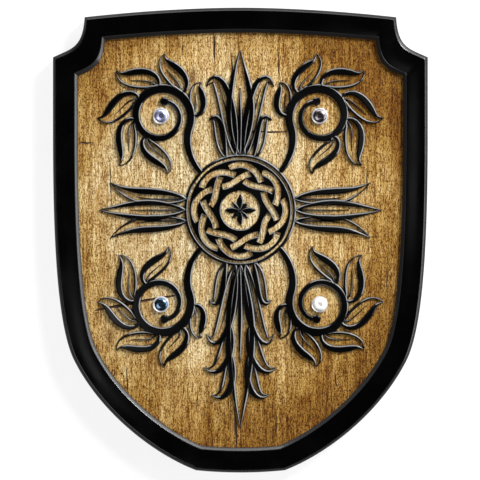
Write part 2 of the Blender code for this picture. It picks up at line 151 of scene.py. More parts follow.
# Materials
class Nodes:
    """A material's node tree, with short calls for its nodes."""

    def __init__(self, name, roughness=0.5, metallic=0.0, colour=(0.5, 0.5, 0.5)):
        self.material = bpy.data.materials.new(name)
        self.material.use_nodes = True
        self.tree = self.material.node_tree
        self.shader = self.tree.nodes["Principled BSDF"]
        self.shader.inputs["Base Color"].default_value = (*colour, 1)
        self.shader.inputs["Roughness"].default_value = roughness
        self.shader.inputs["Metallic"].default_value = metallic
        self.coordinates = self.tree.nodes.new("ShaderNodeTexCoord")

    def give(self, node, key, value):
        socket = node.inputs[key]
        if isinstance(value, bpy.types.NodeSocket):
            self.tree.links.new(value, socket)
        elif value is not None:
            socket.default_value = value

    def place(self, scale):
        node = self.tree.nodes.new("ShaderNodeMapping")
        self.give(node, "Vector", self.coordinates.outputs["Object"])
        self.give(node, "Scale", scale)
        return node.outputs["Vector"]

    def noise(self, scale, size, detail, rough, twist=0.0):
        node = self.tree.nodes.new("ShaderNodeTexNoise")
        self.give(node, "Vector", self.place(scale))
        self.give(node, "Scale", size)
        self.give(node, "Detail", detail)
        self.give(node, "Roughness", rough)
        self.give(node, "Distortion", twist)
        return node.outputs["Fac"]

    def ramp(self, factor, *stops):
        node = self.tree.nodes.new("ShaderNodeValToRGB")
        points = node.color_ramp.elements
        while len(points) < len(stops):
            points.new(0.5)
        for point, (at, colour) in zip(points, stops):
            point.position = at
            point.color = (*((colour,) * 3 if isinstance(colour, (int, float)) else colour), 1)
        self.give(node, "Fac", factor)
        return node.outputs["Color"]

    def math(self, how, a, b=None):
        node = self.tree.nodes.new("ShaderNodeMath")
        node.operation = how
        for index, value in enumerate((a, b)):
            self.give(node, index, value)
        return node.outputs[0]

    def weighted(self, value, weight, middle=0.0):
        """The value's distance from the middle, times a weight."""
        return self.math("MULTIPLY", self.math("SUBTRACT", value, middle) if middle else value, weight)

    def length(self, a, b):
        return self.math("SQRT", self.math("ADD", self.math("MULTIPLY", a, a), self.math("MULTIPLY", b, b)))

    def mix(self, how, factor, a, b):
        node = self.tree.nodes.new("ShaderNodeMix")
        node.data_type = "RGBA"
        node.blend_type = how
        node.clamp_result = True
        self.give(node, 0, factor)
        self.give(node, 6, a if isinstance(a, bpy.types.NodeSocket) else (*a, 1))
        self.give(node, 7, b if isinstance(b, bpy.types.NodeSocket) else (*b, 1))
        return node.outputs[2]

    def bump(self, height, strength, distance):
        node = self.tree.nodes.new("ShaderNodeBump")
        self.give(node, "Height", height)
        self.give(node, "Strength", strength)
        self.give(node, "Distance", distance)
        return node.outputs["Normal"]

    def axes(self):
        node = self.tree.nodes.new("ShaderNodeSeparateXYZ")
        self.give(node, 0, self.coordinates.outputs["Object"])
        return node.outputs

    def end(self, **sockets):
        names = {"colour": "Base Color", "roughness": "Roughness", "normal": "Normal"}
        for name, value in sockets.items():
            self.give(self.shader, names[name], value)
        return self.material


WHITE = (1.0, 1.0, 1.0)

# Oak's noises: stretch, size, detail, roughness, twist
OAK_NOISES = {"pore": ((1, 0.42, 1), 1450, 2, 0.5, 0.2), "fleck": ((1, 0.26, 1), 1000, 3, 0.6, 0.3),
              "fine": ((1, 0.1, 1), 1500, 3, 0.6), "streak": ((1, 0.035, 1), 620, 4, 0.7, 0.2),
              "mottle": ((1, 0.4, 1), 170, 5, 0.68, 0.4), "blotch": ((1, 0.22, 1), 95, 4, 0.6, 0.5),
              "band": ((1, 0.06, 1), 60, 4, 0.6, 0.4), "stain": ((1, 0.75, 1), 24, 5, 0.62, 0.5),
              "sawn": ((0.08, 1, 1), 640, 3, 0.6), "stripe": ((1, 0.16, 1), 62, 4, 0.6, 0.6)}
# Where each of them starts to darken the grain, where it is full, and its share
OAK_GRAIN = (("pore", 0.5, 0.59, 0.56), ("fleck", 0.5, 0.63, 0.38), ("fine", 0.44, 0.6, 0.4),
             ("streak", 0.46, 0.66, 0.42), ("sawn", 0.52, 0.66, 0.13))
OAK_TONES = ((0.05, (0.63, 0.585, 0.44)), (0.5, (0.42, 0.33, 0.168)), (1.0, (0.138, 0.07, 0.018)))
OAK_MOTTLE = ((0.32, WHITE), (0.5, (0.94, 0.9, 0.83)), (0.68, (0.7, 0.55, 0.35)))
OAK_BLOTCH = ((0.46, WHITE), (0.66, (0.76, 0.62, 0.42)))
OAK_BAND = ((0.35, (0.74, 0.66, 0.52)), (0.55, WHITE))
# The painted shade, darker and browner towards the board's edges: its middle and half-sizes in metres, its
# pull into the upper corners, its tones by distance
PAINTED_SHADE_MIDDLE = (-0.025, 0.035)
PAINTED_SHADE_HALF = (0.15, 0.18)
PAINTED_SHADE_CORNER = 5.0
PAINTED_SHADE_STAIN = 0.75
PAINTED_SHADE_STRIPE = 0.85
PAINTED_SHADE_REACH = 0.8
PAINTED_SHADE_TONES = ((0.3, WHITE), (0.5, (0.9, 0.82, 0.68)), (0.64, (0.76, 0.635, 0.41)),
                (0.8, (0.54, 0.385, 0.155)), (0.95, (0.35, 0.21, 0.058)))
# Knots: place and radius in metres
KNOTS = ((-0.039, 0.131, 0.007), (0.096, -0.118, 0.006), (-0.105, -0.078, 0.006))


def wood(name, dark=1.0, shaded=True):
    """Aged oak with its grain along Y: short dark pores, streaks, mottling and stains, and painted shade,
    darker and browner towards its edges and upper corners.
    """
    n = Nodes(name, 0.62)
    n.shader.inputs["Specular IOR Level"].default_value = 0.07
    noises = {kind: n.noise(*values) for kind, values in OAK_NOISES.items() if shaded or kind != "stripe"}
    depth = None
    for kind, begin, full, share in OAK_GRAIN:
        part = n.weighted(n.ramp(noises[kind], (begin, 0.0), (full, 1.0)), share)
        depth = part if depth is None else n.math("ADD", depth, part)
    colour = n.ramp(depth, *[(at, tuple(c * dark for c in tone)) for at, tone in OAK_TONES])
    colour = n.mix("MULTIPLY", 0.9, colour, n.ramp(noises["mottle"], *OAK_MOTTLE))
    colour = n.mix("MULTIPLY", 0.75, colour, n.ramp(noises["blotch"], *OAK_BLOTCH))
    colour = n.mix("MULTIPLY", 0.5, colour, n.ramp(noises["band"], *OAK_BAND))
    if shaded:
        # Painted shade: the wood turns darker and browner with distance from a point left of and above its
        # middle, more so in the upper corners, and unevenly through the stain and stripe noises
        x, y, _ = n.axes()
        side = n.math("DIVIDE", n.math("SUBTRACT", x, PAINTED_SHADE_MIDDLE[0]), PAINTED_SHADE_HALF[0])
        up = n.math("DIVIDE", n.math("SUBTRACT", y, PAINTED_SHADE_MIDDLE[1]), PAINTED_SHADE_HALF[1])
        corner = n.math("MULTIPLY", side, n.math("MAXIMUM", up, 0.0))
        far = n.math("ADD", n.math("MULTIPLY", side, side), n.math("MULTIPLY", up, up))
        corner = n.weighted(n.math("MULTIPLY", corner, corner), PAINTED_SHADE_CORNER)
        far = n.math("SQRT", n.math("ADD", far, corner))
        far = n.math("ADD", far, n.weighted(noises["stain"], PAINTED_SHADE_STAIN, 0.5))
        far = n.math("ADD", far, n.weighted(noises["stripe"], PAINTED_SHADE_STRIPE, 0.5))
        far = n.weighted(far, PAINTED_SHADE_REACH)
        colour = n.mix("MULTIPLY", 1.0, colour, n.ramp(far, *PAINTED_SHADE_TONES))
        # Painted shade also deepens the dark parts of the grain towards the edges
        deep = n.weighted(n.ramp(far, (0.45, 0.0), (0.8, 1.0)), 0.75)
        colour = n.mix("MULTIPLY", deep, colour, n.ramp(depth, (0.35, WHITE), (0.95, (0.62, 0.47, 0.33))))
        for knot_x, knot_y, wide in KNOTS:
            away = n.length(n.math("SUBTRACT", x, knot_x), n.weighted(n.math("SUBTRACT", y, knot_y), 0.7))
            away = n.math("ADD", n.math("DIVIDE", away, wide), n.weighted(noises["mottle"], 2.4, 0.5))
            colour = n.mix("MULTIPLY", 0.8, colour, n.ramp(away, (0.1, (0.3, 0.19, 0.1)), (1.0, WHITE)))
    return n.end(colour=colour, roughness=n.ramp(noises["fine"], (0.3, 0.7), (0.65, 0.52)),
                 normal=n.bump(n.math("SUBTRACT", 1.0, depth), 0.35, 0.0003))


def lacquer(name, roughness, level, wear, colour=(0.0003, 0.0003, 0.0004)):
    """Black lacquer over fine grain, a little uneven, with specks of dust and rubbed spots."""
    n = Nodes(name, roughness, colour=colour)
    n.shader.inputs["Specular IOR Level"].default_value = level
    grain = n.noise((1, 0.12, 1), 700, 4, 0.6, 0.2)
    cloud = n.noise((1, 1, 1), 30, 3, 0.5)
    rub = n.noise((1, 1, 1), 160, 5, 0.7)
    speck = n.noise((1, 1, 1), 1500, 2, 0.5)
    spots = n.math("ADD", n.math("MULTIPLY", n.ramp(speck, (0.7, 0.0), (0.76, 1.0)), 0.5),
                   n.ramp(rub, (0.56, 0.0), (0.72, 1.0)))
    tone = n.mix("MIX", n.math("MULTIPLY", spots, wear), colour, (0.035, 0.031, 0.028))
    return n.end(colour=tone, roughness=n.ramp(cloud, (0.3, roughness - 0.03), (0.7, roughness + 0.06)),
                 normal=n.bump(grain, 0.05, 0.0002))


def steel(name, colour, roughness, metallic=1.0):
    """Zinc-plated steel with fine turning marks and a mottled sheen."""
    n = Nodes(name, roughness, metallic, colour)
    spangle = n.noise((1, 1, 1), 420, 4, 0.6, 0.6)
    fine = n.noise((1, 1, 1), 2600, 3, 0.6)
    tone = n.ramp(spangle, (0.3, tuple(0.72 * c for c in colour)), (0.68, colour))
    return n.end(colour=tone, roughness=n.ramp(fine, (0.3, roughness - 0.06), (0.7, roughness + 0.1)),
                 normal=n.bump(spangle, 0.12, 0.0002))


RIB_PITCH = 0.0013
YARN_PITCH = 0.0017


def webbing():
    """Black woven webbing: ribs across the strap and yarns along it."""
    n = Nodes("black_webbing", 0.82, colour=(0.016, 0.016, 0.018))
    n.shader.inputs["Sheen Weight"].default_value = 0.25
    n.shader.inputs["Sheen Roughness"].default_value = 0.4
    x, y, _ = n.axes()
    across = n.math("SINE", n.math("MULTIPLY", y, 2 * math.pi / RIB_PITCH))
    along = n.math("SINE", n.math("MULTIPLY", x, 2 * math.pi / YARN_PITCH))
    weave = n.math("MULTIPLY", n.math("ADD", across, 1.2), n.math("ADD", along, 1.6))
    fuzz = n.noise((1, 1, 1), 2200, 3, 0.6)
    both = n.math("ADD", n.math("MULTIPLY", weave, 0.2), n.math("MULTIPLY", fuzz, 0.35))
    colour = n.ramp(both, (0.2, (0.006, 0.006, 0.007)), (0.95, (0.045, 0.045, 0.05)))
    return n.end(colour=colour, normal=n.bump(both, 0.7, 0.0005))


def shade(name, roughness, low, high, size):
    """A plain surface whose tone drifts between two close colours."""
    n = Nodes(name, roughness, colour=low)
    return n.end(colour=n.ramp(n.noise((1, 1, 1), size, 3, 0.6), (0.35, low), (0.65, high)))


OAK = wood("oak")
OAK_BACK = wood("oak_back", 0.75, False)
CRACK = shade("crack_shade", 0.9, (0.022, 0.008, 0.002), (0.06, 0.024, 0.007), 300)
RIM_BLACK = lacquer("black_lacquer", 0.14, 0.32, 0.02)
RIM_EDGE = lacquer("black_lacquer_edge", 0.2, 0.28, 0.12, (0.0015, 0.0014, 0.0016))
# A lighter black for the slanted faces of the rim's inner half: painted light, so the inner chamfer reads grey
# as if lit
RIM_PAINTED_LIGHT = lacquer("black_lacquer_painted_light", 0.2, 0.25, 0.12, (0.014, 0.0138, 0.0145))
RELIEF_BLACK = lacquer("black_relief", 0.15, 0.56, 0.01)
CHROME = steel("bright_zinc", (0.76, 0.76, 0.79), 0.34, 0.7)
# The four like heads each get their own colour and finish as painted reflection: light blue, dark, navy and
# white
PAINTED_REFLECTION_HEADS = {"upper_left": steel("zinc_blue_painted_reflection", (0.37, 0.38, 0.58), 0.3, 0.8),
         "upper_right": steel("zinc_dark_painted_reflection", (0.2, 0.17, 0.185), 0.26),
         "lower_left": steel("zinc_navy_painted_reflection", (0.07, 0.12, 0.18), 0.24),
         "lower_right": steel("zinc_white_painted_reflection", (0.92, 0.92, 0.89), 0.45, 0.25)}
WEBBING = webbing()
THREAD = shade("grey_thread", 0.8, (0.07, 0.07, 0.075), (0.13, 0.13, 0.135), 1800)


# Helpers for meshes
def hide(obj, group=GUIDES):
    for owner in list(obj.users_collection):
        owner.objects.unlink(obj)
    group.objects.link(obj)
    obj.hide_render = True
    obj.display_type = "WIRE"
    return obj


def show(obj, node, looks, sharp=32):
    """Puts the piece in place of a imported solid."""
    kept = [face.material_index for face in obj.data.polygons]
    obj.data.materials.clear()
    for look in looks if isinstance(looks, list) else [looks]:
        obj.data.materials.append(look)
    obj.data.polygons.foreach_set("material_index", kept)
    obj.data.shade_smooth()
    obj.data.set_sharp_from_angle(angle=math.radians(sharp))
    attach(obj, "root")
    if node:
        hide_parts(node)


def mesh_object(name, mesh):
    made = bpy.data.objects.new(name, mesh)
    bpy.context.scene.collection.objects.link(made)
    return made


def skin(name, rows, closed=False):
    """A mesh that joins each row of points to the next, capped at both ends unless it closes on itself."""
    work = bmesh.new()
    rows = [[work.verts.new((x * MM, y * MM, z * MM)) for x, y, z in row] for row in rows]
    for a, b in zip(rows, rows[1:] + (rows[:1] if closed else [])):
        for k in range(len(a)):
            j = (k + 1) % len(a)
            work.faces.new((a[k], a[j], b[j], b[k]))
    if not closed:
        work.faces.new(rows[0])
        work.faces.new(rows[-1][::-1])
    bmesh.ops.recalc_face_normals(work, faces=work.faces)
    mesh = bpy.data.meshes.new(name)
    work.to_mesh(mesh)
    work.free()
    return mesh_object(name, mesh)


def settled(obj, name=None, weld=0.0000005):
    """The object with its modifiers applied, its curve meshed and its place written into the mesh."""
    bpy.context.view_layer.update()
    mesh = bpy.data.meshes.new_from_object(obj.evaluated_get(bpy.context.evaluated_depsgraph_get()))
    mesh.transform(obj.matrix_world)
    work = bmesh.new()
    work.from_mesh(mesh)
    bmesh.ops.remove_doubles(work, verts=work.verts, dist=weld)
    work.to_mesh(mesh)
    work.free()
    name = name or obj.name
    bpy.data.objects.remove(obj, do_unlink=True)
    mesh.name = name
    return mesh_object(name, mesh)


def facing_out(obj):
    work = bmesh.new()
    work.from_mesh(obj.data)
    bmesh.ops.recalc_face_normals(work, faces=work.faces)
    work.to_mesh(obj.data)
    work.free()
    return obj


def boolean(obj, operation, cutter=None, group=None):
    cut = obj.modifiers.new(operation.lower(), "BOOLEAN")
    cut.operation = operation
    cut.solver = "EXACT"
    if group:
        cut.operand_type = "COLLECTION"
        cut.collection = group
    else:
        cut.object = cutter


def cone(name, low_radius, high_radius, low, high, at, sides):
    mesh = bpy.data.meshes.new(name)
    work = bmesh.new()
    bmesh.ops.create_cone(work, cap_ends=True, segments=sides, radius1=low_radius * MM,
                          radius2=high_radius * MM, depth=(high - low) * MM)
    work.to_mesh(mesh)
    work.free()
    made = mesh_object(name, mesh)
    made.location = (at[0] * MM, at[1] * MM, (low + high) / 2 * MM)
    return made


def flat_solid(name, loops, thick, low):
    data = bpy.data.curves.new(name, "CURVE")
    data.dimensions = "2D"
    data.fill_mode = "BOTH"
    data.extrude = thick / 2 * MM
    for loop in loops:
        spline = data.splines.new("POLY")
        spline.points.add(len(loop) - 1)
        for point, (x, y) in zip(spline.points, loop):
            point.co = (x * MM, y * MM, 0.0, 1.0)
        spline.use_cyclic_u = True
    made = mesh_object(name, data)
    made.location.z = (low + thick / 2) * MM
    return facing_out(settled(made, name, 0.00001))


def lathe(name, profile, at, steps=64):
    """A closed profile of radius and height turned round Z."""
    mesh = bpy.data.meshes.new(name)
    work = bmesh.new()
    verts = [work.verts.new((r * MM, 0.0, z * MM)) for r, z in profile]
    for a, b in zip(verts, verts[1:]):
        work.edges.new((a, b))
    work.to_mesh(mesh)
    work.free()
    made = mesh_object(name, mesh)
    made.location = (at[0] * MM, at[1] * MM, 0.0)
    screw = made.modifiers.new("turn", "SCREW")
    screw.axis = "Z"
    screw.steps = screw.render_steps = steps
    screw.use_merge_vertices = True
    screw.merge_threshold = 0.000001
    return facing_out(settled(made, name))


def bezier(p0, p1, p2, p3, count):
    t = np.linspace(0, 1, count)[:, None]
    p0, p1, p2, p3 = (np.array(p, float) for p in (p0, p1, p2, p3))
    return (1 - t) ** 3 * p0 + 3 * t * (1 - t) ** 2 * p1 + 3 * t * t * (1 - t) * p2 + t ** 3 * p3


def unit(angle):
    return np.array([math.cos(angle), math.sin(angle)])


def normals(points):
    run = np.gradient(points, axis=0)
    run /= np.linalg.norm(run, axis=1)[:, None]
    return np.c_[-run[:, 1], run[:, 0]]


def resample(points, segments):
    steps = np.r_[0, np.cumsum(np.linalg.norm(np.diff(points, axis=0), axis=1))]
    at = np.linspace(0, steps[-1], segments + 1)
    return np.c_[np.interp(at, steps, points[:, 0]), np.interp(at, steps, points[:, 1])]


def meet(first, second):
    """Both lines cut where they cross."""
    p, r = first[:-1, None], np.diff(first, axis=0)[:, None]
    q, s = second[None, :-1], np.diff(second, axis=0)[None]
    across = r[..., 0] * s[..., 1] - r[..., 1] * s[..., 0]
    across = np.where(abs(across) < 1e-12, 1e-12, across)
    t = ((q - p)[..., 0] * s[..., 1] - (q - p)[..., 1] * s[..., 0]) / across
    u = ((q - p)[..., 0] * r[..., 1] - (q - p)[..., 1] * r[..., 0]) / across
    i, j = np.argwhere((t >= -1e-9) & (t <= 1 + 1e-9) & (u >= -1e-9) & (u <= 1 + 1e-9))[0]
    cross = first[i] + t[i, j] * (first[i + 1] - first[i])
    return np.vstack([first[:i + 1], cross]), np.vstack([cross, second[j + 1:]])


def outline(inset, counts=(30, 26, 90, 10)):
    """The shield's outline moved inwards, as a closed loop of points; the notches keep their curve."""
    shoulder = np.array([HALF_WIDTH - NOTCH_WIDTH, HALF_HEIGHT - TOP_RISE])
    x = np.linspace(0, shoulder[0], CURVE_POINTS)
    top = np.c_[x, HALF_HEIGHT - TOP_RISE * (x / shoulder[0]) ** TOP_CURVE]
    notch_size = np.array([NOTCH_WIDTH, -NOTCH_DROP])
    foot = shoulder + notch_size
    notch = bezier(shoulder, *(shoulder + notch_size * bend for bend in NOTCH_BEND), foot, CURVE_POINTS)
    side_end = foot - [0, STRAIGHT_SIDE]
    flank = np.array([HALF_WIDTH - FLANK_IN, FLANK_RISE - HALF_HEIGHT])
    heel = np.array([HEEL_HALF, HEEL_RISE - HALF_HEIGHT])
    lean = np.array([-math.sin(FLANK_LEAN), -math.cos(FLANK_LEAN)])
    heel_lean = np.array([-math.sin(HEEL_LEAN), -math.cos(HEEL_LEAN)])
    fall = side_end[1] - flank[1]
    reach = np.linalg.norm(flank - heel)
    upper = bezier(side_end, side_end - [0, UPPER_BEND[0] * fall], flank - lean * UPPER_BEND[1] * fall,
                   flank, CURVE_POINTS)
    lower = bezier(flank, flank + lean * LOWER_BEND[0] * reach, heel - heel_lean * LOWER_BEND[1] * reach,
                   heel, CURVE_POINTS)
    side = np.linspace(foot, side_end, 20)
    edge = np.vstack([side[:-1], upper, lower[1:]])
    x = np.linspace(heel[0], 0, 100)
    bottom = np.c_[x, HEEL_RISE * (x / heel[0]) ** 2 - HALF_HEIGHT]
    lines = []
    for line in (top, notch, edge, bottom):
        longer = np.vstack([line[0] - (line[1] - line[0]) * 6, line, line[-1] + (line[-1] - line[-2]) * 6])
        move = inset * NOTCH_RIM / RIM_WIDTH if line is notch else normals(longer) * inset
        lines.append(longer - move)
    for i in range(3):
        lines[i], lines[i + 1] = meet(lines[i], lines[i + 1])
    top, notch, edge, bottom = lines
    top = np.vstack([[0, HALF_HEIGHT - inset], top[top[:, 0] > 0.01]])
    bottom = np.vstack([bottom[bottom[:, 0] > 0.01], [0, inset - HALF_HEIGHT]])
    bend = edge[edge[:, 1] <= side_end[1]]
    straight = np.linspace(edge[0], bend[0], 13)[:-1]
    half = np.vstack([resample(top, counts[0])[:-1], resample(notch, counts[1])[:-1], straight,
                      resample(bend, counts[2])[:-1], resample(bottom, counts[3])])
    return np.vstack([half, (half * [-1, 1])[-2:0:-1]])


def softened(profile, radii, steps=4):
    """A closed profile with each corner turned into a short arc."""
    points = []
    count = len(profile)
    for i, radius in enumerate(radii):
        here = np.array(profile[i], float)
        if not radius:
            points.append(here)
            continue
        before = np.array(profile[i - 1], float) - here
        after = np.array(profile[(i + 1) % count], float) - here
        cut = min(radius, 0.45 * np.linalg.norm(before), 0.45 * np.linalg.norm(after))
        a = here + before / np.linalg.norm(before) * cut
        b = here + after / np.linalg.norm(after) * cut
        for t in np.linspace(0, 1, steps + 1):
            points.append((1 - t) ** 2 * a + 2 * t * (1 - t) * here + t * t * b)
    return points


# Rim: its section carried round the outline; the outer slanted faces get a rubbed lacquer, the slanted faces
# of the inner half a lighter lacquer with painted light
section = [(RIM_CHAMFER, 0), (0, RIM_CHAMFER), (0, RIM_DEPTH - RIM_CHAMFER), (RIM_CHAMFER, RIM_DEPTH),
           (RIM_WIDTH - RIM_CHAMFER, RIM_DEPTH), (RIM_WIDTH, RIM_DEPTH - RIM_CHAMFER),
           (RIM_WIDTH, RIM_DEPTH - LIP), (RIM_WIDTH - REBATE, RIM_DEPTH - LIP), (RIM_WIDTH - REBATE, 0)]
section = softened(section, RIM_ROUNDS)
work = bmesh.new()
rings = []
for s, z in section:
    rings.append([work.verts.new((x * MM, y * MM, z * MM)) for x, y in outline(s)])
for k, (ring, following) in enumerate(zip(rings, rings[1:] + rings[:1])):
    run, rise = np.abs(section[(k + 1) % len(section)] - section[k])
    slanted = min(run, rise) > 0.15 * max(run, rise)
    # Look 1 is the rubbed lacquer of the outer slanted faces, look 2 the lighter lacquer with painted light on
    # the inner ones
    look = (2 if section[k][0] > RIM_WIDTH / 2 else 1) if slanted else 0
    for i in range(len(ring)):
        j = (i + 1) % len(ring)
        face = work.faces.new((ring[i], ring[j], following[j], following[i]))
        face.material_index = look
bmesh.ops.recalc_face_normals(work, faces=work.faces)
rim_mesh = bpy.data.meshes.new("rim")
work.to_mesh(rim_mesh)
work.free()
show(mesh_object("rim", rim_mesh), "rim_frame", [RIM_BLACK, RIM_EDGE, RIM_PAINTED_LIGHT], 30)

# Board, with bolt holes and its cracks and cuts
board = flat_solid("board", [outline(RIM_WIDTH - REBATE + GAP)], PANEL_THICK, PANEL_BACK)
board.data.materials.append(OAK)
board.data.materials.append(CRACK)
BOLTS = {"upper_right": (1, 1), "upper_left": (-1, 1), "lower_right": (1, -1), "lower_left": (-1, -1)}
PLACES = {name: (BOLT_X * sx, ROUNDEL_Y + BOLT_Y * sy) for name, (sx, sy) in BOLTS.items()}
for name, place in PLACES.items():
    hole = hide(cone("board_hole_" + name, BORE / 2, BORE / 2, PANEL_BACK - 1, PANEL_FRONT + 1, place, 32))
    boolean(board, "DIFFERENCE", hole)


CRACK_STEP = 4.0
CRACK_TIP = 0.03
CRACK_SPREAD = 0.8
CRACK_OVER = 0.2
CRACK_UNEVEN = (0.6, 1.25)


def crack(name, start, end, width, depth, wander, seed, points=None):
    """A thin wedge along the board's face, wandering a little from its straight line."""
    rng = np.random.default_rng(seed)
    start, end = np.array(start, float), np.array(end, float)
    long = np.linalg.norm(end - start)
    count = points or max(5, int(long / CRACK_STEP))
    t = np.linspace(0, 1, count)
    drift = np.cumsum(rng.normal(0, 1, count))
    drift -= drift[0] + (drift[-1] - drift[0]) * t
    drift *= wander / max(0.001, abs(drift).max())
    line = start + (end - start) * t[:, None]
    line = line + normals(line) * drift[:, None]
    full = np.sin(math.pi * t) ** 0.5
    half = CRACK_SPREAD * width * (0.25 + 0.75 * full) * rng.uniform(*CRACK_UNEVEN, count)
    half[[0, -1]] = CRACK_TIP
    side = normals(line) * half[:, None]
    top = PANEL_FRONT + CRACK_OVER
    bottom = PANEL_FRONT - depth * (0.3 + 0.7 * full)
    wedge = skin(name, [((*left, top), (*middle, low), (*right, top))
                        for left, right, middle, low in zip(line + side, line - side, line, bottom)])
    wedge.data.materials.append(OAK)
    wedge.data.materials.append(CRACK)
    for face in wedge.data.polygons:
        face.material_index = 1
    hide(wedge, CRACKS)


# Name, both ends, width
SPLITS = (("split_top", (-6.5, 152), (-8.4, 84), 1.3), ("split_mid", (-8.0, 80), (-6.0, 71), 0.8),
          ("split_low", (-4.6, -132), (-3.4, -166.5), 1.7), ("split_side", (-21.6, 167), (-20.8, 143), 1.2),
          ("cut_top", (-13.5, 87.6), (42, 86.2), 1.2), ("cut_left", (-130, 78), (-116, 77.3), 1.3),
          ("cut_slant", (-118, -56.5), (-50, -44), 2.0), ("check_a", (-80, -50), (-80.5, -74), 0.9),
          ("check_b", (-91, -100), (-90.5, -124), 0.8), ("check_c", (50, -58), (49.5, -97), 0.8),
          ("check_d", (76, -102), (76.6, -119), 0.9), ("check_e", (102, 62), (101.4, 34), 0.7),
          ("check_f", (-104, 62), (-103.4, 26), 0.6), ("check_g", (28, -136), (28.5, -159), 0.8),
          ("check_h", (30, 158), (30.6, 128), 0.7), ("check_i", (-46, 158), (-46.4, 146), 0.6),
          ("check_j", (118, -20), (117.4, -44), 0.7), ("check_k", (-34, -120), (-34.4, -140), 0.7),
          ("check_l", (22, 60), (22.3, 38), 0.6))
SPLIT_DEEP = 1.3
# Middle, direction, length
SCRATCHES = ((-52, 96, 0.6, 26), (-44, 88, 0.62, 34), (-30, 97, 0.58, 18), (-38, 78, 0.66, 22),
             (-49, -128, 0.1, 7), (60, 66, -0.5, 20), (88, 118, 0.2, 14))
SCRATCH_WIDE, SCRATCH_DEEP = 0.22, 0.25
PITS = ((-96.5, -44.5), (-95, -107), (108, 8), (78.5, -132), (34, 128))
PIT_WIDE, PIT_DEEP, PIT_HALF = 1.3, 0.9, 0.8
for name, start, end, width in SPLITS:
    crack(name, start, end, width, SPLIT_DEEP, 0.5, sum(map(ord, name)))
for k, (x, y, angle, long) in enumerate(SCRATCHES):
    middle, along = np.array([x, y]), unit(angle) * long / 2
    crack(f"scratch_{k}", middle - along, middle + along, SCRATCH_WIDE, SCRATCH_DEEP, 0.15, 30 + k)
for k, (x, y) in enumerate(PITS):
    crack(f"pit_{k}", (x - PIT_HALF, y), (x + PIT_HALF, y + 0.1), PIT_WIDE, PIT_DEEP, 0.1, 50 + k, 5)
boolean(board, "DIFFERENCE", group=CRACKS)
board = settled(board)
work = bmesh.new()
work.from_mesh(board.data)
for face in work.faces:
    if face.material_index == 0 and face.normal.z < -0.9:
        face.material_index = 2
work.to_mesh(board.data)
work.free()
show(board, "wood_panel", [OAK, CRACK, OAK_BACK], 40)


# Ornament
def swell(count, root, belly, tip, at=0.45):
    """Half-widths that grow from root to belly and thin to tip."""
    t = np.linspace(0, 1, count)
    up = root + (belly - root) * np.sin(np.clip(t / at, 0, 1) * math.pi / 2)
    down = tip + (belly - tip) * np.cos(np.clip((t - at) / (1 - at), 0, 1) * math.pi / 2)
    return np.where(t < at, up, down)


LEAF_STEPS = 18
VEIN_STEPS = 12
THICK_STROKE, THIN_STROKE, EVEN_STROKE = 2.9, 1.35, 2.3


def leaf(root, root_lean, tip, tip_lean, belly, heavy=1, weight=1.0, veins=True):
    """Two strokes that part at the root and meet at the tip, with a vein; heavy is the thick one's side."""
    root, tip = np.array(root, float), np.array(tip, float)
    long = np.linalg.norm(tip - root)
    t = np.linspace(0, 1, LEAF_STEPS)
    spine = bezier(root, root + unit(root_lean) * long * 0.4, tip - unit(tip_lean) * long * 0.42, tip,
                   LEAF_STEPS)
    spread = belly * np.sin(math.pi * t ** 0.8) ** 0.85
    across = normals(spine)
    strokes = []
    for side in (1, -1):
        width = {side: THICK_STROKE, -side: THIN_STROKE, 0: EVEN_STROKE}[heavy] * weight
        strokes.append((spine + across * (side * spread)[:, None], swell(LEAF_STEPS, 1.2, width, 0.3, 0.5)))
    if veins:
        vein = spine + across * (-0.18 * heavy * spread)[:, None]
        strokes.append((vein[:VEIN_STEPS], swell(VEIN_STEPS, 0.9, 0.72, 0.12, 0.3)))
    return strokes


SCROLL_BEGIN = 200
SCROLL_TURNS = 1.27
SCROLL_SHARES = (0.81, 0.96, 0.98, 0.98, 1.0, 0.9)


def scroll():
    """A stem that leaves the roundel and winds round the bolt, with leaves along its outer side."""
    foot = unit(math.radians(44)) * (ROUNDEL - 1.5) - [BOLT_X, BOLT_Y]
    begin = math.radians(SCROLL_BEGIN)
    angles = np.linspace(0, SCROLL_TURNS * 2 * math.pi, 72)

    def radius(run):
        return SCROLL_EYE + (SCROLL - SCROLL_EYE) * (1 - np.clip(run / angles[-1], 0, 1)) ** 0.8

    wind = radius(angles)[:, None] * np.c_[np.cos(begin - angles), np.sin(begin - angles)]
    bow = 0.53 * SCROLL
    stem = bezier(foot, foot + unit(math.radians(46)) * bow, wind[0] - unit(begin - math.pi / 2) * bow,
                  wind[0], 20)
    line = np.vstack([stem[:-1], wind])
    rise = len(line) * 2 // 3
    thin = 0.76 * STEM
    strokes = [(line, np.r_[swell(rise, 0.58 * STEM, STEM, thin, 0.5),
                            np.linspace(thin, 0.48 * STEM, len(line) - rise)])]
    bud = unit(begin - angles[-1]) * SCROLL_EYE
    ahead = unit(begin - angles[-1] - math.pi / 2)
    along = np.linspace(-1, 1, 13)
    strokes.append((bud + np.outer(along * 0.9 * STEM, ahead), 0.9 * STEM * np.sqrt(1.08 - along ** 2)))
    for k, share in enumerate(SCROLL_SHARES):
        step = k / (len(SCROLL_SHARES) - 1)
        base = math.radians(176 - 232 * step)
        end = base - math.radians(35 + 6 * step)
        belly = LEAF_BELLY * (1.0 if 0 < k < len(SCROLL_SHARES) - 1 else 0.82)
        strokes += leaf(unit(base) * (radius(begin - base) + 0.6), base - math.radians(6),
                        unit(end) * SCROLL_LEAF * share, end + math.radians(26), belly, 1)
    return strokes


def grown(root, root_lean, tip, tip_lean, belly, heavy, down=False, veins=True):
    """A leaf beside the crest, or mirrored beside the pendant."""
    turn = -1 if down else 1
    return leaf((root[0], turn * root[1]), turn * math.radians(root_lean), (tip[0], turn * tip[1]),
                turn * math.radians(tip_lean), belly, heavy * turn, 1.0, veins)


